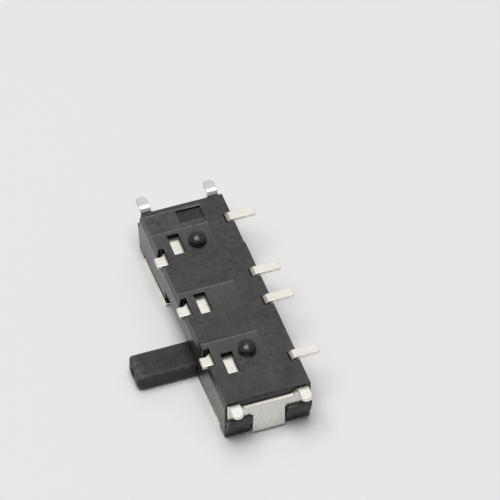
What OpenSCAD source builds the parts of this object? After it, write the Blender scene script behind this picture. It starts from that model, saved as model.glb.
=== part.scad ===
// Miniature three-position slide switch for surface mounting, with a side knob.
// Millimetres. X runs along the body, the knob points to -Y, and the face that
// meets the circuit board looks up, to +Z. The origin is the middle of the body
// on the outer face of the metal cover, which is the side that it lies on.

/* [Housing] */
// Length of the moulded housing
housing_l = 10.3; // [9.9:0.1:12]
// Width of the housing, front wall to back wall
housing_w = 3.5; // [3.4:0.05:4.5]
// Height from the outer face of the cover to the mounting face
housing_h = 2.05; // [1.95:0.05:2.6]
// Thickness of the front and back walls
wall_t = 0.42; // [0.38:0.02:0.5]
// Thickness of the two end walls
end_wall_t = 0.5; // [0.4:0.05:0.7]
// Thickness of the wall under the mounting face, which holds the contact strips
floor_t = 0.38; // [0.3:0.02:0.5]
// Height of the bevel along the front edge of the mounting face
bevel_h = 0.33; // [0.1:0.01:0.4]
// How far that bevel leans in
bevel_in = 0.08; // [0.02:0.01:0.12]
// Small bevel along the back edge of the mounting face
back_bevel = 0.04; // [0.02:0.01:0.1]
// Radius of the housing's other outer edges
edge_r = 0.05; // [0.02:0.01:0.08]
// Length of each corner post, which stands in a corner notch of the cover
post_l = 0.58; // [0.4:0.02:0.8]
// How far the underside of a post stays above the outer face of the cover
post_rise = 0.05; // [0.02:0.01:0.1]
// Gap between the long walls and the cover
wall_gap = 0.1; // [0.05:0.01:0.2]
// How much the front wall's lower edge rises from the left post to the slot
wall_rise = 0.18; // [0.05:0.01:0.25]
// Length at the left end over which the back wall stands back
setback_l = 2.7; // [1:0.1:3]
// How far the back wall stands back there
setback_d = 0.05; // [0.02:0.01:0.08]

/* [Mounting face] */
// Diameter of the two locating pegs
peg_d = 0.7; // [0.5:0.05:0.9]
// Height of a peg above the mounting face
peg_h = 0.44; // [0.4:0.01:0.8]
// Height of the domed top of a peg
peg_dome = 0.16; // [0.05:0.01:0.16]
// Distance between the pegs
peg_pitch = 5.9; // [5.4:0.1:6.4]
// How far the pegs and the feet lie in front of the housing's middle
mid_shift = 0.05; // [0.02:0.01:0.08]
// Distance between neighbouring windows over the common strip
window_pitch = 3.2; // [2.6:0.1:3.3]
// Length of a window
window_l = 1.03; // [0.6:0.01:1.2]
// Width of a window
window_w = 0.47; // [0.3:0.01:0.6]
// Distance between neighbouring edge notches
notch_pitch = 2.7; // [2.4:0.1:3]
// Width of an edge notch at the mounting face
notch_top_w = 1; // [0.8:0.05:1.3]
// Width of an edge notch at its bottom, at the front face
notch_floor_w = 0.6; // [0.55:0.01:0.75]
// How far an edge notch cuts into the front wall
notch_in = 0.34; // [0.28:0.01:0.36]
// How far the bottom of a notch widens on each side, at 45 degrees, towards its inner end
notch_flare = 0.18; // [0.1:0.01:0.2]
// Height of the shallow ramps that stand on the mounting face
ramp_h = 0.02; // [0.01:0.005:0.03]
// Length over which a ramp falls away
ramp_l = 1.5; // [0.8:0.1:1.8]
// How far a ramp starts ahead of its window or notch
ramp_lead = 0.2; // [0.1:0.01:0.25]
// How far the ramps reach behind the middle of the mounting face
ramp_back = 0.66; // [0.5:0.01:0.8]
// Distance from the end of the housing to the marking band
band_in = 0.22; // [0.15:0.01:0.3]
// Length of the marking band
band_l = 0.98; // [0.85:0.01:1.05]
// Length of the marking pocket
pocket_l = 0.62; // [0.4:0.02:0.7]
// Width of the marking pocket
pocket_w = 1.02; // [0.6:0.02:1.3]
// Depth of the marking pocket
pocket_d = 0.1; // [0.05:0.01:0.15]
// Distance from the marking band's edge to the pocket
pocket_in = 0.1; // [0.04:0.01:0.15]

/* [Cover] */
// Thickness of the cover's sheet steel
cover_t = 0.15; // [0.1:0.01:0.2]
// How far the cover's long edges stay inside the housing
cover_inset = 0; // [0:0.01:0.15]
// How far the ends of the cross bars stay inside the housing
bar_inset = 0.13; // [0.1:0.01:0.2]
// Width of the neck that turns up at each end
neck_w = 1.32; // [1:0.02:1.6]
// Inner radius of the bend below each neck
neck_r = 0.1; // [0.04:0.01:0.15]
// Height of the snap ledge on the end walls
ledge_z = 1.2; // [1:0.02:1.3]
// How far the snap wedge stands out of the end wall
ledge_out = 0.3; // [0.2:0.01:0.4]
// Height of the upright lip of the snap wedge
ledge_lip = 0.14; // [0.05:0.01:0.2]
// Height of the cross bar of each end plate
bar_h = 0.52; // [0.3:0.02:0.6]
// Width of a ground foot
foot_w = 0.45; // [0.42:0.01:0.6]
// Distance from the middle of the switch to the tips of the feet
foot_reach = 5.95; // [5.8:0.01:7]
// How far a foot is bent past level, in degrees
foot_droop = 6; // [2:1:10]
// Inner radius of the bend of a foot
foot_r = 0.17; // [0.05:0.01:0.18]
// Corner radius of a foot's tip
foot_tip_r = 0.19; // [0.05:0.01:0.2]
// How far the cover is cut back under the knob
relief_d = 0.78; // [0.4:0.02:0.8]
// Length of the round-ended hole in the cover
hole_l = 2.13; // [1.2:0.01:2.4]
// Width of that hole
hole_w = 0.95; // [0.5:0.01:1.1]
// Distance of that hole from the middle of the cover, along the switch
hole_x = 2.07; // [1.8:0.01:2.4]
// Distance of that hole from the middle of the cover, across the switch
hole_y = 0.38; // [0.2:0.01:0.4]

/* [Slider] */
// Distance between neighbouring switch positions
step = 1.25; // [1.1:0.01:1.3]
// Width of the knob, along the switch
knob_w = 1.3; // [1:0.02:1.4]
// Thickness of the knob
knob_t = 0.68; // [0.5:0.02:0.72]
// How far the knob stands out of the front wall
knob_reach = 2.42; // [1:0.02:5]
// Height of the knob's underside above the outer face of the cover
knob_z = 0.12; // [0.06:0.01:0.2]
// Radius of the knob's long edges
knob_edge_r = 0.13; // [0.04:0.01:0.15]
// Radius of the knob's tip, seen from above
knob_tip_r = 0.24; // [0.1:0.01:0.4]
// Height of the slider's front rail, which closes the slot
rail_h = 0.55; // [0.4:0.01:0.6]
// Gap between the front rail and the root of the knob
rail_gap = 0.2; // [0.1:0.01:0.3]
// How far the slider's upper part stands back behind its front rail
upper_in = 0.2; // [0.1:0.01:0.22]
// Distance of the slider's back from the middle of the switch
carriage_back = 0.85; // [0.78:0.01:0.9]
// Height of the slider's deck, which carries the moving contact
deck_z = 1.25; // [1.1:0.01:1.3]
// Diameter of the round gate mark in the knob's tip
gate_d = 0.42; // [0.2:0.01:0.46]
// Depth of the gate mark
gate_depth = 0.05; // [0.02:0.01:0.1]
// Gap on each side of the knob in the slot at the ends of its travel
slot_gap = 0.07; // [0.04:0.01:0.12]
// Running gap between the slider and the walls round it
run_gap = 0.05; // [0.03:0.01:0.08]

/* [Contacts] */
// Thickness of the contact strips
strip_t = 0.16; // [0.1:0.01:0.2]
// Width of a terminal
lead_w = 0.4; // [0.3:0.02:0.5]
// Smallest distance between two terminals, which is half the wide one
lead_pitch = 1.5; // [1.4:0.05:1.6]
// How far the terminals and pegs are shifted towards the left end
lead_shift = 0.1; // [0.05:0.01:0.12]
// How far the terminals stand out of the back wall
lead_out = 0.85; // [0.4:0.01:1.5]
// How far inside the back face the terminals come up
lead_in = 0.36; // [0.3:0.01:0.38]
// Corner radius of a terminal's tip
lead_tip_r = 0.06; // [0.04:0.01:0.14]
// How far the solder faces stand above the mounting face
standoff = 0.1; // [0.08:0.01:0.15]
// Width of a cut-off tie bar in an edge notch
tie_w = 0.47; // [0.3:0.01:0.5]
// How far a tie bar stands out of the front wall
tie_out = 0.13; // [0.05:0.01:0.3]
// Length of a contact pad
pad_l = 0.84; // [0.6:0.02:0.9]
// Distance of the common row in front of the middle
common_row = 0.86; // [0.78:0.01:0.87]
// Distance of the throw row behind the middle
throw_row = 0.38; // [0.34:0.01:0.42]
// Width of the throw pads
throw_w = 0.54; // [0.4:0.02:0.56]
// Thickness of the moving contact's sheet
clip_t = 0.08; // [0.06:0.01:0.12]
// Width of each bow of the moving contact
bow_w = 0.36; // [0.24:0.02:0.4]
// Length of the moving contact
clip_l = 2.2; // [1.6:0.1:2.4]

/* [Detent] */
// Thickness of the detent spring
spring_t = 0.07; // [0.05:0.01:0.1]
// Height of the detent spring
spring_h = 0.5; // [0.3:0.05:0.6]
// Length of the detent spring
spring_l = 3; // [2.6:0.1:3.4]
// Height of the detent spring's lower edge above the cover's outer face
spring_z = 0.45; // [0.4:0.01:0.5]
// Depth of the three detent notches in the back wall
detent_d = 0.16; // [0.08:0.01:0.2]
// Width of a detent notch
detent_w = 0.8; // [0.6:0.05:0.9]

/* [Hidden] */
$fn = 48;

// How far a cutting shape runs past the face that it opens
cut = 0.2;
// Gap between the cover's end plates and the end walls
end_gap = 0.02;
// Gap between the sheet metal and the plastic that it slips past
slip = 0.06;
// Gap between a terminal's bend and the plastic round it
lead_gap = 0.03;

half_l = housing_l / 2;
half_w = housing_w / 2;
floor_z = housing_h - floor_t;
solder_z = housing_h + standoff;

// Ways and stops of the slider
travel = 2 * step;
rest_x = step;
slot_l = travel + knob_w + 2 * slot_gap;
slot_over = 0.08;
slot_z = knob_z + knob_t + slot_over;
cavity_l = housing_l - 2 * end_wall_t;
cavity_w = housing_w - 2 * wall_t;
carriage_l = cavity_l - travel - 2 * run_gap;
carriage_z = cover_t + run_gap;
carriage_top = floor_z - run_gap;

// Rows of contacts, across the switch: the common strip runs under the windows
common_y = -common_row;
strip_rim = 0.07;
common_w = window_w + 2 * strip_rim;
throw_y = throw_row;
throw_back = throw_y + throw_w / 2;
common_x = lead_x(-2.5);

// Inside, a strip is narrower than its terminal by a small step on each side
lead_step = 0.05;
inner_lead_w = lead_w - 2 * lead_step;

// Bend of the terminals, from the strips up to the solder faces
bend_r = 0.05;
bend_y = half_w - lead_in - bend_r;

// The middle contact's link lies halfway between the throw row and the bends
link_w = 0.24;
link_y = (throw_back + bend_y) / 2;

// End bars of the moving contact, its gap to the strips that it slides on, and its
// play between the slider's blocks
clip_bar = 0.15;
contact_gap = 0.02;
clip_play = 0.03;

// Blocks, runners and spine that stand on the slider's deck
block_l = 0.35;
runner_l = 0.5;
spine_h = 0.25;
spine_play = 0.04;

// The detent spring leans on the back of its bay in the slider
bay_d = 0.23;
bay_play = 0.04;
spring_y = carriage_back - bay_d;
nose_w = 0.7;
nose_out = 0.22;
nose_gap = 0.03;

// The detent notches end below the housing's floor. Each has a narrow flat at its
// bottom and a shallow lead-in on each side.
detent_top = 1.27;
detent_flat = 0.12;
detent_lead = 0.1;
detent_rub = 0.04;

// Knee in the sloped face of a snap wedge: how far down it lies, and how far out the
// face still stands there, as shares of the whole
knee_down = 1 / 3;
knee_out = 0.75;

// Places along the mounting face
band_x = -half_l + band_in;
pocket_x = band_x + pocket_in;
pocket_y = ramp_back - pocket_w;

// Carries a flat shape, drawn with x along Y and y along Z, across the width w
module across_x(w)
    rotate([90, 0, 90])
        linear_extrude(w, center = true)
            children();

// Carries a flat shape, drawn with x along X and y along Z, across the width w
module across_y(w)
    rotate([90, 0, 0])
        linear_extrude(w, center = true)
            children();

// A box from its lowest to its highest corner
module box(low, high)
    translate(low)
        cube(high - low);

// A quarter of a bent sheet, between the directions of +x and +y
module bend(r, t)
    intersection() {
        difference() {
            circle(r + t);
            circle(r);
        }
        square(r + t);
    }

// A rectangle with round corners, from the origin
module round_rect(w, h, r) {
    translate([r, 0])
        square([w - 2 * r, h]);
    translate([0, r])
        square([w, h - 2 * r]);
    for (x = [r, w - r], y = [r, h - r])
        translate([x, y])
            circle(r);
}

// A strip with round ends, from one end to the other
module round_slot(l, w) {
    square([l - w, w], center = true);
    for (x = [-1, 1] * (l - w) / 2)
        translate([x, 0])
            circle(w / 2);
}

// What stands at the right-hand end stands at the left too
module both_ends() {
    children();
    mirror([1, 0, 0])
        children();
}

// What stands at the back stands at the front too
module both_sides() {
    children();
    mirror([0, 1, 0])
        children();
}

// Housing

// Section of the housing, with its bevels, down to a given height
module housing_section(bottom)
    polygon([
        [-half_w, bottom],
        [half_w, bottom],
        [half_w, housing_h - back_bevel],
        [half_w - back_bevel, housing_h],
        [-half_w + bevel_in, housing_h],
        [-half_w, housing_h - bevel_h]
    ]);

// Block of the housing, with round upright edges and round upper ends
module housing_block(bottom)
    intersection() {
        across_x(housing_l)
            housing_section(bottom);
        translate([-half_l, -half_w, 0])
            linear_extrude(housing_h)
                round_rect(housing_l, housing_w, edge_r);
        across_y(housing_w)
            translate([-half_l, -edge_r])
                round_rect(housing_l, housing_h + edge_r, edge_r);
    }

// Corner posts reach down past the cover, one in each of its corner notches
module corner_posts()
    intersection() {
        housing_block(post_rise);
        both_ends()
            both_sides()
                box([half_l - post_l, neck_w / 2 + slip, post_rise],
                    [half_l, half_w, cover_t + wall_gap + cut]);
    }

// The end wall stands on the neck of the cover, clear of its bend
module end_foot()
    box([half_l - end_wall_t, -neck_w / 2 - slip, cover_t],
        [half_l - neck_r, neck_w / 2 + slip, cover_t + wall_gap + cut]);

// Wedge that the cross bar of the cover snaps over
module snap_wedge() {
    inner = neck_w / 2 + slip;
    outer = half_w - slip / 2;
    foot_z = cover_t + wall_gap;
    lip_z = ledge_z - ledge_lip;
    translate([0, (inner + outer) / 2, 0])
        across_y(outer - inner)
            polygon([
                [half_l - cut, ledge_z],
                [half_l + ledge_out, ledge_z],
                [half_l + ledge_out, lip_z],
                [half_l + ledge_out * knee_out, lip_z - (lip_z - foot_z) * knee_down],
                [half_l, foot_z],
                [half_l - cut, foot_z]
            ]);
}

// Locating peg with a domed top
module peg() {
    dome_r = (pow(peg_d / 2, 2) + pow(peg_dome, 2)) / (2 * peg_dome);
    intersection() {
        translate([0, 0, housing_h - floor_t / 2])
            cylinder(h = floor_t / 2 + peg_h, d = peg_d);
        translate([0, 0, housing_h + peg_h - dome_r])
            sphere(dome_r, $fn = 96);
    }
}

// Places of the terminals, counted from the middle in steps of their pitch
function lead_x(k) = k * lead_pitch - lead_shift;

// A ramp starts ahead of its window or its edge notch, whichever comes first
function ramp_start(i) =
    min(i * window_pitch - window_l / 2, i * notch_pitch - notch_top_w / 2) - ramp_lead;

// Shallow ramp, highest at x, falling away towards +X
module ramp(x, l, front, back)
    translate([0, (front + back) / 2, 0])
        across_y(back - front)
            polygon([
                [x, housing_h - floor_t / 2],
                [x, housing_h + ramp_h],
                [x + l, housing_h],
                [x + l, housing_h - floor_t / 2]
            ]);

// Widening of a notch's inner end, and of the tie bar that lies in it, seen from above
module notch_plan(w)
    polygon([
        [-w / 2, notch_in - notch_flare],
        [-w / 2 - notch_flare, notch_in],
        [w / 2 + notch_flare, notch_in],
        [w / 2, notch_in - notch_flare]
    ]);

// Notch in the front edge: a trapezium at the front, wider at its inner end
module edge_notch() {
    translate([0, -half_w + (notch_in - cut) / 2, 0])
        across_y(notch_in + cut)
            polygon([
                [-notch_floor_w / 2, floor_z - slip],
                [notch_floor_w / 2, floor_z - slip],
                [notch_floor_w / 2, floor_z + strip_t / 2],
                [notch_top_w / 2, housing_h + cut],
                [-notch_top_w / 2, housing_h + cut],
                [-notch_floor_w / 2, floor_z + strip_t / 2]
            ]);
    translate([0, -half_w, floor_z])
        linear_extrude(floor_t + cut)
            notch_plan(notch_floor_w);
}

// Pocket round the bend of a terminal
module lead_pocket(x)
    box([x - lead_w / 2 - lead_gap, bend_y + bend_r - lead_gap, floor_z],
        [x + lead_w / 2 + lead_gap, half_w + cut, housing_h + cut]);

// Wedge that is missing under the front wall, left of the slot
module wall_wedge() {
    low = cover_t + wall_gap;
    translate([0, -half_w, 0])
        across_y(2 * wall_t + cut)
            polygon([
                [-half_l + post_l, low],
                [-slot_l / 2, low + wall_rise],
                [-slot_l / 2 + cut, low - cut],
                [-half_l + post_l, low - cut]
            ]);
}

module detent_notch()
    linear_extrude(detent_top)
        polygon([
            [-detent_w / 2 - detent_lead, cavity_w / 2 - detent_rub],
            [-detent_w / 2, cavity_w / 2],
            [-detent_flat / 2, cavity_w / 2 + detent_d],
            [detent_flat / 2, cavity_w / 2 + detent_d],
            [detent_w / 2, cavity_w / 2],
            [detent_w / 2 + detent_lead, cavity_w / 2 - detent_rub]
        ]);

module housing()
    color("#2e2c2b")
        difference() {
            union() {
                housing_block(cover_t + wall_gap);
                corner_posts();
                both_ends() {
                    both_sides()
                        snap_wedge();
                    end_foot();
                }
                for (x = [-peg_pitch / 2, peg_pitch / 2])
                    translate([x - lead_shift, -mid_shift, 0])
                        peg();
                for (i = [-1:1])
                    ramp(ramp_start(i), ramp_l, -half_w + bevel_in, ramp_back);
                ramp(band_x, band_l, -half_w + bevel_in, ramp_back + slip);
            }
            // Room for the slider, open towards the cover
            box([-cavity_l / 2, -cavity_w / 2, -cut], [cavity_l / 2, cavity_w / 2, floor_z]);
            // Slot for the knob
            box([-slot_l / 2, -half_w - cut, -cut], [slot_l / 2, 0, slot_z]);
            for (i = [-1:1]) {
                translate([i * notch_pitch, 0, 0])
                    edge_notch();
                translate([i * window_pitch, common_y, floor_z])
                    linear_extrude(floor_t + cut)
                        square([window_l, window_w], center = true);
                translate([i * step, 0, 0])
                    detent_notch();
            }
            wall_wedge();
            // The back wall stands back a little at the left end
            box([-half_l - cut, half_w - setback_d, -cut],
                [-half_l + setback_l, half_w + cut, housing_h + cut]);
            // Pocket where a marking would be, left bare
            box([pocket_x, pocket_y, housing_h - pocket_d],
                [pocket_x + pocket_l, pocket_y + pocket_w, housing_h + cut]);
            for (k = [-2.5, -0.5, 0.5, 2.5])
                lead_pocket(lead_x(k));
            // The strips are moulded in, so the plastic fits them all round
            common_strip();
            throw_strip(-step, lead_x(-0.5));
            throw_link_strip();
            throw_strip(step, lead_x(2.5));
        }

// Terminals

// Plate of strip metal, flush with the inside of the housing's floor
module strip_plate(low, high)
    box([low[0], low[1], floor_z], [high[0], high[1], floor_z + strip_t]);

// The bend up out of the housing and the part that is soldered, with round corners at its tip
module lead(x)
    translate([x, 0, 0]) {
        tip_y = half_w + lead_out;
        flat_y = bend_y + 2 * bend_r + strip_t;
        across_x(lead_w) {
            // Lower bend
            translate([bend_y, floor_z + strip_t + bend_r])
                mirror([0, 1])
                    bend(bend_r, strip_t);
            translate([bend_y + bend_r, floor_z + strip_t + bend_r])
                square([strip_t, solder_z - floor_z - 2 * (strip_t + bend_r)]);
            // Upper bend
            translate([flat_y, solder_z - strip_t - bend_r])
                mirror([1, 0])
                    bend(bend_r, strip_t);
            translate([flat_y, solder_z - strip_t])
                square([tip_y - lead_tip_r - flat_y, strip_t]);
        }
        translate([-lead_w / 2, tip_y - 3 * lead_tip_r, solder_z - strip_t])
            linear_extrude(strip_t)
                round_rect(lead_w, 3 * lead_tip_r, lead_tip_r);
        strip_plate([-lead_w / 2, bend_y - strip_rim], [lead_w / 2, bend_y]);
    }

// The common contact: a long strip under the windows, held by three tie bars
module common_strip() {
    lead(common_x);
    strip_plate([common_x - inner_lead_w / 2, common_y], [common_x + inner_lead_w / 2, bend_y]);
    strip_plate([common_x - inner_lead_w / 2, common_y - common_w / 2],
                [window_pitch + window_l / 2 + strip_rim, common_y + common_w / 2]);
    for (i = [-1:1])
        translate([i * notch_pitch, 0, 0]) {
            strip_plate([-tie_w / 2, -half_w - tie_out], [tie_w / 2, common_y]);
            strip_plate([-tie_w / 2 - notch_flare, notch_in - half_w],
                        [tie_w / 2 + notch_flare, common_y]);
            translate([0, -half_w, floor_z])
                linear_extrude(strip_t)
                    notch_plan(tie_w);
        }
}

// A throw contact whose pad reaches along its row to its own terminal
module throw_strip(pad_x, x) {
    lead(x);
    strip_plate([min(pad_x - pad_l / 2, x - inner_lead_w / 2), throw_y - throw_w / 2],
                [max(pad_x + pad_l / 2, x + inner_lead_w / 2), throw_y + throw_w / 2]);
    strip_plate([x - inner_lead_w / 2, throw_y], [x + inner_lead_w / 2, bend_y]);
}

// The middle contact, whose link runs behind its neighbour's pad
module throw_link_strip() {
    x = lead_x(0.5);
    lead(x);
    strip_plate([-pad_l / 2, throw_y - throw_w / 2], [pad_l / 2, throw_y + throw_w / 2]);
    strip_plate([0, throw_y], [inner_lead_w, link_y + link_w / 2]);
    strip_plate([0, link_y - link_w / 2], [x + inner_lead_w / 2, link_y + link_w / 2]);
    strip_plate([x - inner_lead_w / 2, link_y], [x + inner_lead_w / 2, bend_y]);
}

module terminal_1()
    color("#d8d4c8")
        common_strip();

module terminal_2()
    color("#d8d4c8")
        throw_strip(-step, lead_x(-0.5));

module terminal_3()
    color("#d8d4c8")
        throw_link_strip();

module terminal_4()
    color("#d8d4c8")
        throw_strip(step, lead_x(2.5));

// Cover

plate_in = half_l + end_gap;
plate_out = plate_in + cover_t;
plate_w = housing_w - 2 * cover_inset;
bar_w = housing_w - 2 * bar_inset;
bar_top = ledge_z + end_gap + bar_h;
foot_bend_z = solder_z - cover_t - foot_r;
foot_root_r = solder_z - cover_t - bar_top;
foot_root_w = foot_w / 2 + foot_root_r;

// Flat outline of the cover, with its corner notches, knob relief and hole
module cover_outline()
    difference() {
        union() {
            square([housing_l - 2 * post_l - 2 * slip, plate_w], center = true);
            square([2 * (plate_in - neck_r), neck_w], center = true);
        }
        translate([-slot_l / 2 + slip, -half_w - cut])
            square([slot_l - 2 * slip, relief_d + cover_inset + cut]);
        translate([-hole_x, hole_y])
            round_slot(hole_l, hole_w);
    }

// Section of a foot: upright, bent outwards to just past level, and straight to its tip
module foot_section() {
    mid_r = foot_r + cover_t / 2;
    translate([plate_in, bar_top - cut])
        square([cover_t, foot_bend_z - bar_top + cut]);
    translate([plate_out + foot_r, foot_bend_z]) {
        intersection() {
            difference() {
                circle(foot_r + cover_t);
                circle(foot_r);
            }
            polygon([
                [0, 0],
                [-2 * mid_r, 0],
                [-2 * mid_r, 2 * mid_r],
                [2 * mid_r * sin(foot_droop), 2 * mid_r * cos(foot_droop)]
            ]);
        }
        rotate(-foot_droop)
            translate([0, foot_r])
                square([foot_reach - plate_out, cover_t]);
    }
}

// Outline of a foot seen from its end, with a round inner corner at its root
module foot_front()
    difference() {
        translate([-foot_root_w, bar_top - cut])
            square([foot_root_w + foot_w / 2, solder_z - bar_top + cut]);
        translate([-foot_root_w, bar_top + foot_root_r])
            circle(foot_root_r);
        translate([-foot_root_w - cut, bar_top + foot_root_r])
            square([foot_root_r + cut, solder_z]);
    }

// Foot that turns outwards from one end of the cross bar: its section, kept inside
// its outlines from the end and from above
module foot()
    intersection() {
        across_y(2 * foot_root_w)
            foot_section();
        across_x(2 * foot_reach)
            foot_front();
        linear_extrude(2 * solder_z) {
            translate([0, -foot_root_w])
                square([plate_out + foot_r, 2 * foot_root_w]);
            translate([plate_in, -foot_w / 2])
                round_rect(foot_reach - plate_in, foot_w, foot_tip_r);
        }
    }

// End plate: neck, cross bar and two feet
module end_plate() {
    across_y(neck_w) {
        translate([plate_in - neck_r, cover_t + neck_r])
            mirror([0, 1])
                bend(neck_r, cover_t);
        translate([plate_in, cover_t + neck_r])
            square([cover_t, bar_top - cover_t - neck_r]);
    }
    translate([0, -mid_shift, 0]) {
        box([plate_in, -bar_w / 2, bar_top - bar_h], [plate_out, bar_w / 2, bar_top]);
        both_sides()
            translate([0, bar_w / 2 - foot_w / 2, 0])
                foot();
    }
}

module cover()
    color("#c9cdd2") {
        linear_extrude(cover_t)
            cover_outline();
        both_ends()
            end_plate();
    }

// Slider

front_y = -cavity_w / 2 + run_gap;
upper_y = front_y + upper_in;

// Side knob, rounded along its edges and at its tip. It ends ahead of the
// cover's relief, and a neck above the cover joins it to the carriage.
module knob() {
    tip_y = half_w + knob_reach;
    root_y = half_w - cover_inset - relief_d + run_gap;
    box([-knob_w / 2, -half_w, carriage_z], [knob_w / 2, upper_y + cut, knob_z + knob_t]);
    translate([0, -root_y, knob_z])
        intersection() {
            translate([-knob_w / 2, 0, 0])
                rotate([90, 0, 0])
                    linear_extrude(tip_y - root_y)
                        round_rect(knob_w, knob_t, knob_edge_r);
            translate([-knob_w / 2, root_y - tip_y, 0])
                linear_extrude(knob_t)
                    round_rect(knob_w, tip_y - root_y + 2 * knob_tip_r, knob_tip_r);
            translate([0, root_y - tip_y, 0])
                across_x(knob_w)
                    round_rect(tip_y - root_y + 2 * knob_tip_r, knob_t, knob_edge_r);
        }
}

// Gate mark: a shallow round dimple in the knob's tip
module gate_dimple()
    translate([0, -half_w - knob_reach - cut, knob_z + knob_t / 2])
        rotate([-90, 0, 0])
            cylinder(h = cut + gate_depth, d = gate_d);

// Rail that closes the slot on one side of the knob, with a sloped inner end
module front_rail()
    translate([0, 0, carriage_z])
        linear_extrude(rail_h)
            polygon([
                [-carriage_l / 2, front_y + 2 * upper_in],
                [-carriage_l / 2, front_y],
                [-knob_w / 2 - rail_gap - upper_in, front_y],
                [-knob_w / 2 - rail_gap, front_y + upper_in],
                [-knob_w / 2 - rail_gap, front_y + 2 * upper_in]
            ]);

module carriage() {
    stop_x = clip_l / 2 + clip_play;
    difference() {
        union() {
            box([-carriage_l / 2, upper_y, carriage_z], [carriage_l / 2, carriage_back, deck_z]);
            // Blocks that hold the moving contact between them
            both_ends()
                box([stop_x, upper_y, deck_z - cut], [stop_x + block_l, carriage_back, carriage_top]);
            // Runners at the ends, which keep the slider level
            both_ends()
                box([carriage_l / 2 - runner_l, upper_y, deck_z - cut],
                    [carriage_l / 2, carriage_back, carriage_top]);
            // Spine between the two bows of the moving contact
            box([-clip_l / 2 + clip_bar + spine_play, common_y + bow_w / 2 + spine_play, deck_z - cut],
                [clip_l / 2 - clip_bar - spine_play, throw_y - bow_w / 2 - spine_play, deck_z + spine_h]);
        }
        // Bay for the detent spring, open to the back
        box([-spring_l / 2 - bay_play, spring_y, spring_z - bay_play],
            [spring_l / 2 + bay_play, carriage_back + cut, spring_z + spring_h + bay_play]);
    }
}

module slider()
    color("#262423")
        translate([rest_x, 0, 0]) {
            carriage();
            both_ends()
                front_rail();
            difference() {
                knob();
                gate_dimple();
            }
        }

// Moving contact

// A bow from -l/2 to l/2, as high as rise in its middle, t thick
function bow_mid(x, l, rise) = rise * (1 + cos(360 * x / l)) / 2;
function bow_points(l, rise, t, n) = concat(
    [for (i = [0:n]) let (x = l * (i / n - 0.5)) [x, bow_mid(x, l, rise)]],
    [for (i = [n:-1:0]) let (x = l * (i / n - 0.5)) [x, bow_mid(x, l, rise) + t]]
);

module contact_clip()
    color("#c8a052")
        translate([rest_x, 0, deck_z]) {
            for (y = [common_y, throw_y])
                translate([0, y, 0])
                    across_y(bow_w)
                        polygon(bow_points(clip_l, floor_z - deck_z - clip_t - contact_gap, clip_t, 32));
            both_ends()
                box([clip_l / 2 - clip_bar, common_y - bow_w / 2, 0],
                    [clip_l / 2, throw_y + bow_w / 2, clip_t]);
        }

// Detent spring

// Middle line of the spring: a long bow with a nose that drops into a notch
function spring_mid(x) =
    let (reach = cavity_w / 2 + detent_d - nose_gap - spring_t - spring_y)
    bow_mid(x, spring_l, reach - nose_out)
        + (abs(x) < nose_w / 2 ? bow_mid(x, nose_w, nose_out) : 0);

module detent_spring() {
    n = 60;
    color("#b8bcc0")
        translate([rest_x, spring_y, spring_z])
            linear_extrude(spring_h)
                polygon(concat(
                    [for (i = [0:n]) let (x = spring_l * (i / n - 0.5)) [x, spring_mid(x)]],
                    [for (i = [n:-1:0]) let (x = spring_l * (i / n - 0.5)) [x, spring_mid(x) + spring_t]]
                ));
}

housing();
cover();
terminal_1();
terminal_2();
terminal_3();
terminal_4();
slider();
contact_clip();
detent_spring();
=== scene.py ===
import math

import bpy
from mathutils import Matrix, Vector


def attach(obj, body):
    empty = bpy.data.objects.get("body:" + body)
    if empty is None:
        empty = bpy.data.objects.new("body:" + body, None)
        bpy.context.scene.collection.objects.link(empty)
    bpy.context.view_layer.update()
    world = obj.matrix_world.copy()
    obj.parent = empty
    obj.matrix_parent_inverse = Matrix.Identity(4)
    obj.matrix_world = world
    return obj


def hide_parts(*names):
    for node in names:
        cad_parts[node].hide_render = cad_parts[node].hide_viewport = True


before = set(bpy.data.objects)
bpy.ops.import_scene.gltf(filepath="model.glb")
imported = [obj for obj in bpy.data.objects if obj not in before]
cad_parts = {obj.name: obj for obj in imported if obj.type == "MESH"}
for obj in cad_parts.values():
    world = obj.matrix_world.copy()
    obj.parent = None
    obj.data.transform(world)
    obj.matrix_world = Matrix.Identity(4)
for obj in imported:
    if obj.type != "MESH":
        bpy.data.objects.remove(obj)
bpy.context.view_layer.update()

MM = 0.001

# Camera: as far off, and as narrow, as the photograph's. Its angles are in degrees, its lens
# in millimetres and its clipping in metres.
AZIMUTH, ELEVATION, ROLL = 69.94, 48.93, 0.896
TARGET = Vector((-2.826, 2.080, 1.0)) * MM
DISTANCE = 221.1 * MM
LENS = 403.1
CLIP_START, CLIP_END = 0.01, 5

# Floor, lamps and world, in metres and watts
FLOOR_SIZE = 0.8
FLOOR_COLOUR = (0.8, 0.8, 0.79, 1)
KEY_LAMP = {"place": (0, -0.03, 0.27), "size": 0.22, "power": 0.63}
SKY_LAMP = {"place": (-0.25, 0.09, 0.30), "size": 0.28, "power": 0.115}
WORLD_COLOUR = (0.97, 0.98, 1, 1)
WORLD, MIRRORED_WORLD, SEEN_WORLD = 0.22, 0.4, 0.82

# All sizes and places from here on are in millimetres, as in the part's source

# Widths of the rounded edges, and the most of a narrow face that one of them takes
PLASTIC_EDGE = 0.03
KNOB_EDGE = 0.04
METAL_EDGE = 0.016
COVER_EDGE = 0.022
EDGE_SHARE = 0.4

# Corners that close are merged, faces that flat are joined, and edges that sharp are rounded
MERGED = 0.0005
FLAT = math.radians(0.5)
SHARP = math.radians(25)

# A normal's part along an axis, above which its face is level or faces that way, and below
# which it is edge on
LEVEL, FACING, EDGE_ON = 0.9, 0.6, 0.35

# Room left around a height when faces are sorted by it
SLACK = 0.02

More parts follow.
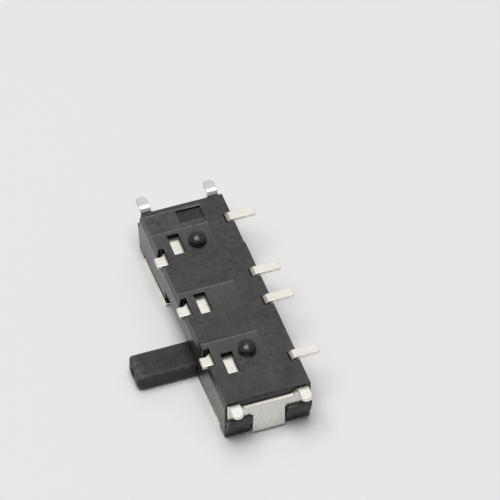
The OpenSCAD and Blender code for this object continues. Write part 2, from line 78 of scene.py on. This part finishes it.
# The shallow ramps of the mounting face: where each starts, and where they end at the back
FACE = 2.05
RAMP_STARTS = (-3.915, -0.715, 2.0)
RAMP_L = 1.5
RAMP_BACK = 0.66
BAND_START = -4.93
# Width of the painted highlight, with wear, along each crest and the band's edge
LIT_CREST_W = 0.07
PEG_FOOT = 2.1

# The windows and notches, as one region, and the marking pocket
OPENINGS_END, OPENINGS_Y, OPENINGS_FLOOR = 4.6, (-1.65, 0), 1.5
POCKET_X, POCKET_Y, POCKET_FLOOR = (-4.85, -4.2), (-0.38, 0.68), 1.95

# Where the sheet metal of the cover lies flat, stands up and turns out again
PLATE_TOP = 0.16
PLATE_END = 5.1
END_PLATE = 5.35
FOOT_START = 5.55
FOOT_BEND = 1.85
RELIEF_BACK, RELIEF_END = -0.9, 1.95

# Where the terminals' feet and the tie bars are cut off
LEAD_END = 2.5
TIE_END = -1.8

# The knob at rest, the gate mark in its tip, how far in its edges are worn and lit by a painted
# highlight, and how far from its root a painted shadow reaches
KNOB_X, KNOB_W = 1.25, 1.3
KNOB_ROOT, KNOB_TIP, KNOB_TOP = -1.76, -4.17, 0.8
GATE_Z, GATE_R, GATE_REACH = 0.46, 0.215, 0.1
WORN_LIT_SIDE, WORN_LIT_HEIGHT = 0.17, 0.18
WORN_LIT_TIP, TIP_FADE = 0.1, 0.4
ROOT_SHADOW_L = 0.4

# Spots of the plastic's patterns, then those of the metals
CLOUD, MOTTLE, GRAIN, SCUFF = 0.9, 0.26, 0.05, 0.06
DULL_CLOUD, DENT, ROLLED_LINE, STAIN, TOOTH = 0.7, 0.24, 0.07, 0.22, 0.09

# What a pattern's places are multiplied by, so it is drawn out where this is small
SCUFFED = (0.35, 0.12, 1)
ROLLED_ALONG_X = (0.06, 1, 1)
ROLLED_ALONG_Y = (1, 0.06, 1)

# Tint of the black moulding
SOOT = (1.1, 1.01, 0.96)


# Shader maths

class Sock:
    """A socket of a material, on which sums are written as in Python."""

    def __init__(self, tree, out):
        self.tree, self.out = tree, out

    def maths(self, how, *values):
        return node(self.tree, "ShaderNodeMath", {"operation": how}, dict(enumerate(values)))

    def __add__(self, v):
        return self.maths("ADD", self, v)

    def __radd__(self, v):
        return self.maths("ADD", v, self)

    def __sub__(self, v):
        return self.maths("SUBTRACT", self, v)

    def __rsub__(self, v):
        return self.maths("SUBTRACT", v, self)

    def __mul__(self, v):
        return self.maths("MULTIPLY", self, v)

    def __rmul__(self, v):
        return self.maths("MULTIPLY", v, self)

    def __gt__(self, v):
        return self.maths("GREATER_THAN", self, v)

    def __lt__(self, v):
        return self.maths("LESS_THAN", self, v)

    def abs(self):
        return self.maths("ABSOLUTE", self)


def node(tree, kind, settings=(), values=(), out=0):
    """A node of any kind, with its settings first and then its sockets' values or links."""
    n = tree.nodes.new(kind)
    for name, value in dict(settings).items():
        if name == "stops":
            ramp = n.color_ramp
            while len(ramp.elements) < len(value):
                ramp.elements.new(0.5)
            for element, (place, shade) in zip(ramp.elements, value):
                element.position = place
                element.color = (shade, shade, shade, 1)
        else:
            setattr(n, name, value)
    for name, value in dict(values).items():
        if isinstance(value, Sock):
            tree.links.new(value.out, n.inputs[name])
        else:
            n.inputs[name].default_value = value
    return Sock(tree, n.outputs[out])


def between(value, low, high):
    """1 where the value lies between the two, else 0."""
    return (value > low) * (value < high)


class Finish:
    """A material with a Principled shader, and the patterns that it is made of."""

    def __init__(self, name, **constants):
        self.material = bpy.data.materials.new(name)
        self.material.use_nodes = True
        self.tree = self.material.node_tree
        self.shader = self.tree.nodes["Principled BSDF"]
        for key, value in constants.items():
            self.shader.inputs[key.replace("_", " ")].default_value = value
        place = node(self.tree, "ShaderNodeTexCoord", out="Object")
        self.mm = node(self.tree, "ShaderNodeVectorMath", {"operation": "SCALE"},
                       {0: place, "Scale": 1 / MM})

    def stretch(self, x, y, z):
        return node(self.tree, "ShaderNodeVectorMath", {"operation": "MULTIPLY"},
                    {0: self.mm, 1: (x, y, z)})

    def split(self):
        return [node(self.tree, "ShaderNodeSeparateXYZ", {}, {0: self.mm}, out=i) for i in range(3)]

    def noise(self, size, detail=3.0, rough=0.5, along=None):
        """Noise whose spots are about that many millimetres across."""
        return node(self.tree, "ShaderNodeTexNoise", {},
                    {"Vector": along or self.mm, "Scale": 1 / size, "Detail": detail,
                     "Roughness": rough})

    def ramp(self, value, *stops):
        return node(self.tree, "ShaderNodeValToRGB", {"stops": stops}, {"Fac": value})

    def patches(self, size, low, high, **noise):
        """Noise as patches: 0 where it is below low, and 1 where it is above high."""
        return self.ramp(self.noise(size, **noise), (low, 0), (high, 1))

    def mix(self, amount, a, b):
        return node(self.tree, "ShaderNodeMix", {"data_type": "RGBA"},
                    {"Factor": amount, 6: a, 7: b}, out=2)

    def bump(self, height, strength, mm):
        return node(self.tree, "ShaderNodeBump", {},
                    {"Height": height, "Strength": strength, "Distance": mm * MM})

    def feed(self, **links):
        for key, value in links.items():
            self.tree.links.new(value.out, self.shader.inputs[key.replace("_", " ")])
        return self.material


# Materials

def grey(value, warmth):
    """A grey that loses that share of its blue, and less of its green."""
    return (value, value * (1 - 0.3 * warmth), value * (1 - warmth), 1)


def soot(value):
    """The slightly warm grey of the black moulding."""
    return (*(value * tint for tint in SOOT), 1)


def moulded_black(name, tone, worn=0.05, rough_base=0.44, depth=0.012, ior=1.5, wear_and_light=None):
    """Glass-filled black plastic: cloudy and mottled, with a fine grain, scuffs and dust. The
    function passed last gives places made lighter, by wear or a painted highlight, or darker, by a
    painted shade or shadow."""
    f = Finish(name, IOR=ior)
    clouds = f.patches(CLOUD, 0.32, 0.68, rough=0.6)
    mottle = f.patches(MOTTLE, 0.34, 0.66, rough=0.65)
    grain = f.noise(GRAIN, rough=0.6)
    scuffs = f.patches(SCUFF, 0.66, 0.73, detail=2, along=f.stretch(*SCUFFED))
    dust = f.patches(GRAIN, 0.68, 0.74, detail=1)
    shade = clouds * 0.45 + mottle * 0.45 + grain * 0.3 - 0.1
    colour = f.mix(shade, soot(tone * 0.05), soot(tone * 2.3))
    marks_and_painted_light = [(scuffs * 0.3, 4), (dust * 0.35, 4), (grain * worn, 3)]
    # What the last argument adds is partly wear and partly painted highlight, shade and shadow
    if wear_and_light:
        marks_and_painted_light += wear_and_light(f, grain, mottle)
    for amount, gain in marks_and_painted_light:
        colour = f.mix(amount, colour, soot(tone * gain))
    rough = rough_base + clouds * 0.08 + mottle * 0.06 + grain * 0.08
    return f.feed(Base_Color=colour, Roughness=rough,
                  Normal=f.bump(grain * 0.6 + clouds + mottle * 0.5, 0.4, depth))


def face_marks_and_crest_highlight(f, grain, mottle):
    """The ramps of the mounting face are lighter at their start, fading along them, and the band is
    rubbed lighter in patches. Along the ramps' crests and the band's edge runs a painted highlight,
    broken up like wear.
    """
    x, y, z = f.split()
    in_front = y < RAMP_BACK
    on_face = between(z, FACE - SLACK, PEG_FOOT) * in_front
    # A painted highlight along each crest and the band's edge, broken up like wear
    lit_worn_crest = sum(between(x, start, start + LIT_CREST_W) for start in (BAND_START, *RAMP_STARTS))
    # Lighter at each ramp's start, fading along it
    ramp_fade = sum(between(x, start, start + RAMP_L) * (1 - (x - start) * (1 / RAMP_L))
               for start in RAMP_STARTS)
    band = between(x, BAND_START, RAMP_STARTS[0]) * (z > POCKET_FLOOR - SLACK) * in_front
    return [(ramp_fade * on_face * (0.3 + grain * 0.5), 3),
            (band * mottle * 0.5, 3.4),
            (lit_worn_crest * on_face * (0.1 + mottle * 0.6 + grain * 0.5), 5.5)]


def knob_wear_and_painted_light(f, grain, mottle):
    """The knob is lighter in patches along its upper edges and at its tip: worn, and a painted
    highlight. Its sides carry a painted shade, and its root a painted shadow."""
    x, y, z = f.split()
    side = f.ramp((x - KNOB_X).abs(), (KNOB_W / 2 - WORN_LIT_SIDE, 0), (KNOB_W / 2, 1))
    tip = f.ramp(y - KNOB_TIP, (WORN_LIT_TIP, 1), (TIP_FADE, 0))
    upper = f.ramp(z - (KNOB_TOP - SLACK - WORN_LIT_HEIGHT), (0, 0), (WORN_LIT_HEIGHT, 1))
    # A painted shadow near the knob's root, where the housing shades it
    root_shadow = f.ramp(KNOB_ROOT - y, (0, 1), (ROOT_SHADOW_L, 0))
    # Upper edges and tip are lighter in patches: wear and a painted highlight
    return [((side + tip) * upper * (y < KNOB_ROOT) * (0.15 + mottle * 0.8), 6),
            # A painted shade on the sides below the upper band
            ((1 - upper) * 0.6, 0.1),
            (root_shadow * 0.9, 0.05)]


def plated(name, tone, warmth, along, rough_base, dents):
    """Bright rolled strip: fine rolling lines, dull clouds, small dents and stains."""
    f = Finish(name, Metallic=1.0)
    clouds = f.patches(DULL_CLOUD, 0.3, 0.7, detail=4, rough=0.6)
    dent = f.noise(DENT, detail=2)
    lines = f.noise(ROLLED_LINE, detail=2, along=f.stretch(*along))
    stains = f.patches(STAIN, 0.56, 0.7, rough=0.6)
    colour = f.mix(clouds, grey(tone, warmth), grey(tone * 0.9, warmth * 1.5))
    colour = f.mix(lines * 0.25, colour, grey(tone * 0.75, warmth))
    colour = f.mix(stains * 0.3, colour, grey(tone * 0.6, warmth * 2.2))
    rough = rough_base + clouds * 0.06 + lines * 0.06 + stains * 0.1
    return f.feed(Base_Color=colour, Roughness=rough, Normal=f.bump(dent + lines * 0.2, 1.0, dents))


def sheared(name, tone, warmth):
    """Cut edge of the strip: burnished, and torn in the relief under the knob."""
    f = Finish(name, Metallic=1.0)
    x, y, z = f.split()
    torn = (z < PLATE_TOP) * (y < RELIEF_BACK) * (x.abs() < RELIEF_END)
    teeth = f.noise(TOOTH, detail=2, rough=0.6)
    tear = f.ramp(teeth, (0.42, 0), (0.56, 1)) * (torn * 0.7 + 0.25)
    colour = f.mix(tear, grey(tone, warmth), grey(tone * 0.45, warmth * 1.5))
    return f.feed(Base_Color=colour, Roughness=0.48 + tear * 0.2,
                  Normal=f.bump(teeth * (torn + 0.25), 0.6, 0.02))


def floor_finish():
    return Finish("pale floor", Base_Color=FLOOR_COLOUR, Roughness=0.9,
                  Specular_IOR_Level=0.1).material


# Rounded copies of the CAD nodes

def pick(piece):
    bpy.ops.object.select_all(action="DESELECT")
    piece.select_set(True)
    bpy.context.view_layer.objects.active = piece


def face_sides(mesh):
    """For each edge, the normal of each face beside it, its way in from the edge and its room."""
    sides = {}
    for face in mesh.polygons:
        corners = [mesh.vertices[i].co for i in face.vertices]
        for i, a in enumerate(corners):
            b = corners[(i + 1) % len(corners)]
            along = (b - a).normalized()
            inward = face.normal.cross(along)
            span = (b - a).length
            depths = [(c - a).dot(inward) for c in corners if 0 <= (c - a).dot(along) <= span]
            room = min((d for d in depths if d > MERGED / 2 * MM), default=MM)
            key = tuple(sorted((face.vertices[i], face.vertices[(i + 1) % len(corners)])))
            sides.setdefault(key, []).append((face.normal, inward, room))
    return sides


def weigh_edges(mesh, width, leave):
    """Bevel weights for the sharp outer edges, smaller where a face beside them is narrow,
    and none where leave says so of the edge's middle."""
    sides = face_sides(mesh)
    weights = mesh.attributes.new("bevel_weight_edge", "FLOAT", "EDGE")
    for edge in mesh.edges:
        pair = sides.get(tuple(sorted(edge.vertices)), [])
        a, b = (mesh.vertices[i].co for i in edge.vertices)
        if len(pair) != 2 or leave and leave((a + b) / 2 / MM):
            continue
        (normal_a, _, room_a), (normal_b, inward_b, room_b) = pair
        if normal_a.angle(normal_b, 0) > SHARP and normal_a.dot(inward_b) < 0:
            share = EDGE_SHARE * min(room_a, room_b) / (width * MM)
            weights.data[edge.index].value = min(1, share)


def apply(piece, kind, **settings):
    """Adds a modifier with its settings and applies it."""
    modifier = piece.modifiers.new(kind.lower(), kind)
    for name, value in settings.items():
        setattr(modifier, name, value)
    pick(piece)
    bpy.ops.object.modifier_apply(modifier=modifier.name)


def all_alike(c, n):
    """0 for every face."""
    return 0


def dressed(name, body, width, materials, sort=all_alike, keeps=(), segments=2, leave=None):
    """A copy of a CAD node with its outer edges rounded. They take the last material, a lighter
    copy that paints a highlight along them, and each face takes the one whose number sort
    gives. Those in keeps stay on their edges."""
    pick(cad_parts[name])
    bpy.ops.object.duplicate()
    piece = bpy.context.object
    piece.name = name + "_finished"
    pick(piece)
    bpy.ops.object.mode_set(mode="EDIT")
    bpy.ops.mesh.select_all(action="SELECT")
    bpy.ops.mesh.remove_doubles(threshold=MERGED * MM)
    bpy.ops.mesh.dissolve_limited(angle_limit=FLAT)
    bpy.ops.object.mode_set(mode="OBJECT")
    mesh = piece.data
    mesh.materials.clear()
    for material in materials:
        mesh.materials.append(material)
    for face in mesh.polygons:
        face.material_index = sort(face.center / MM, face.normal)
    bpy.ops.object.shade_smooth_by_angle(angle=SHARP)
    weigh_edges(mesh, width, leave)
    apply(piece, "BEVEL", width=width * MM, segments=segments, limit_method="WEIGHT",
          use_clamp_overlap=False, material=len(materials) - 1)
    for face in mesh.polygons:
        kind = sort(face.center / MM, face.normal)
        if kind in keeps:
            face.material_index = kind
    apply(piece, "WEIGHTED_NORMAL", keep_sharp=True, weight=80)
    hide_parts(name)
    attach(piece, body)


# Which material each face takes, from its middle c and its normal n

MOULDING, PEG, SHADED_WALL, POCKET, LONG_SIDE = range(5)
SHEET, CUT = range(2)


def sort_housing(c, n):
    """Tells the pegs, the walls of windows, notches and marking pocket, the pocket's floor
    and the long sides from the rest. The walls and the pocket's floor take darker copies
    of the moulding: painted shade."""
    if c.z > PEG_FOOT:
        return PEG
    if (POCKET_X[0] < c.x < POCKET_X[1] and POCKET_Y[0] < c.y < POCKET_Y[1]
            and POCKET_FLOOR - SLACK < c.z < FACE - SLACK):
        return POCKET if abs(n.z) > LEVEL else SHADED_WALL
    if (abs(c.x) < OPENINGS_END and OPENINGS_Y[0] < c.y < OPENINGS_Y[1]
            and OPENINGS_FLOOR < c.z < FACE - SLACK and abs(n.z) < LEVEL):
        return SHADED_WALL
    return LONG_SIDE if abs(n.y) > FACING else MOULDING


def sort_cover(c, n):
    """Tells the faces that run through the sheet's thickness from the sheet's own."""
    if c.z < PLATE_TOP and abs(c.x) < PLATE_END:
        is_cut = abs(n.z) < EDGE_ON
    elif c.z < FOOT_BEND and abs(c.x) < END_PLATE:
        is_cut = abs(n.y) > FACING or abs(n.x) < EDGE_ON and c.z > 2 * PLATE_TOP
    else:
        is_cut = abs(n.y) > FACING or abs(n.z) < EDGE_ON and abs(c.x) > FOOT_START
    return CUT if is_cut else SHEET


def sort_terminal(c, n):
    """Tells the sides and ends of the contact strips from their flat faces."""
    at_end = c.y > LEAD_END or c.y < TIE_END
    return CUT if abs(n.x) > FACING or abs(n.z) < EDGE_ON and at_end else SHEET


def is_gate(c):
    """True on the gate mark in the knob's tip."""
    return c.y < KNOB_TIP + GATE_REACH and math.hypot(c.x - KNOB_X, c.z - GATE_Z) < GATE_R


# Housing

black = moulded_black("black moulding", tone=0.022, wear_and_light=face_marks_and_crest_highlight)
black_peg = moulded_black("black moulding, pegs", tone=0.012, rough_base=0.06, depth=0.002)
# The walls of the windows, notches and pocket take a near-black copy: painted shade
black_wall_shaded = moulded_black("black moulding, openings, painted shade", tone=0.003, worn=0, rough_base=0.3,
                           depth=0.003, ior=1.12)
# The marking pocket's floor takes a darker copy: painted shade in the recess
black_pocket_shaded = moulded_black("black moulding, pocket floor, painted shade", tone=0.016, worn=0, rough_base=0.46, ior=1.4)
black_side = moulded_black("black moulding, long sides", tone=0.022, rough_base=0.15, depth=0.005)
# The housing's rounded edges take a lighter copy of the moulding: worn, and a painted highlight
black_edge_highlight = moulded_black("black moulding, edges, painted highlight", tone=0.04, worn=0.16, rough_base=0.34)
dressed("housing", "base", PLASTIC_EDGE,
        [black, black_peg, black_wall_shaded, black_pocket_shaded, black_side, black_edge_highlight],
        sort_housing, keeps=(PEG,))

# Cover and terminals

tin = plated("tinned steel", tone=0.76, warmth=0.06, along=ROLLED_ALONG_X,
             rough_base=0.2, dents=0.004)
# The rounded edges of the cover and terminals take a brighter copy of the strip: a painted
# highlight
tin_edge_highlight = plated("tinned steel, edges, painted highlight", tone=0.95, warmth=0.1, along=ROLLED_ALONG_X,
                  rough_base=0.3, dents=0.004)
cut = sheared("cut edge", tone=0.97, warmth=0.1)
lead_metal = plated("plated contact metal", tone=0.87, warmth=0.09, along=ROLLED_ALONG_Y,
                    rough_base=0.2, dents=0.004)
dressed("cover", "base", COVER_EDGE, [tin, cut, tin_edge_highlight], sort_cover)
for i in range(1, 5):
    dressed(f"terminal_{i}", "base", METAL_EDGE, [lead_metal, cut, tin_edge_highlight], sort_terminal)

# Slider, with the moving contact and the detent spring inside, which keep their CAD meshes

knob_black = moulded_black("slider moulding", tone=0.016, worn=0.1, rough_base=0.38, ior=1.42,
                           wear_and_light=knob_wear_and_painted_light)
# The knob's rounded edges take a lighter copy of the moulding: worn, and a painted highlight
knob_edge_highlight = moulded_black("slider moulding, edges, painted highlight", tone=0.06, worn=0.3, rough_base=0.3, ior=1.45)
dressed("slider", "slider_group", KNOB_EDGE, [knob_black, knob_edge_highlight], segments=3, leave=is_gate)

bronze = plated("spring bronze", tone=0.72, warmth=0.55, along=ROLLED_ALONG_X, rough_base=0.25,
                dents=0.006)
spring_steel = plated("spring steel", tone=0.55, warmth=0.05, along=ROLLED_ALONG_X,
                      rough_base=0.22, dents=0.006)
for name, material in (("contact_clip", bronze), ("detent_spring", spring_steel)):
    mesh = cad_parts[name].data
    mesh.materials.clear()
    mesh.materials.append(material)


# Stage

def place_camera():
    bpy.ops.object.camera_add()
    camera = bpy.context.object
    camera.name = "camera"
    a, e, r = (math.radians(v) for v in (AZIMUTH, ELEVATION, ROLL))
    back = Vector((math.sin(a) * math.cos(e), -math.cos(a) * math.cos(e), math.sin(e)))
    level = Vector((math.cos(a), math.sin(a), 0))
    rise = back.cross(level)
    right = level * math.cos(r) + rise * math.sin(r)
    up = back.cross(right)
    turn = Matrix((right, up, back)).transposed().to_4x4()
    camera.matrix_world = Matrix.Translation(TARGET + back * DISTANCE) @ turn
    camera.data.lens = LENS
    camera.data.clip_start, camera.data.clip_end = CLIP_START, CLIP_END
    bpy.context.scene.camera = camera


def soft_lamp(name, place, size, power):
    """A round lamp aimed at the switch."""
    bpy.ops.object.light_add(type="AREA", location=place)
    lamp = bpy.context.object
    lamp.name = name
    lamp.data.shape = "DISK"
    lamp.data.size = size
    lamp.data.energy = power
    lamp.rotation_euler = (-Vector(place)).to_track_quat("-Z", "Y").to_euler()


def studio_world():
    """Dim light all round, which is brighter where it is mirrored and where it is seen."""
    world = bpy.data.worlds.new("studio")
    world.use_nodes = True
    tree = world.node_tree
    seen, mirrored = (node(tree, "ShaderNodeLightPath", out=name)
                      for name in ("Is Camera Ray", "Is Glossy Ray"))
    back = tree.nodes["Background"]
    back.inputs["Color"].default_value = WORLD_COLOUR
    strength = WORLD + seen * (SEEN_WORLD - WORLD) + mirrored * (MIRRORED_WORLD - WORLD)
    tree.links.new(strength.out, back.inputs["Strength"])
    bpy.context.scene.world = world


bpy.ops.mesh.primitive_plane_add(size=FLOOR_SIZE, location=(0, 0, 0))
floor = bpy.context.object
floor.name = "floor"
floor.data.materials.append(floor_finish())

soft_lamp("key lamp", **KEY_LAMP)
soft_lamp("sky lamp", **SKY_LAMP)
studio_world()
place_camera()
bpy.context.scene.view_settings.view_transform = "Standard"
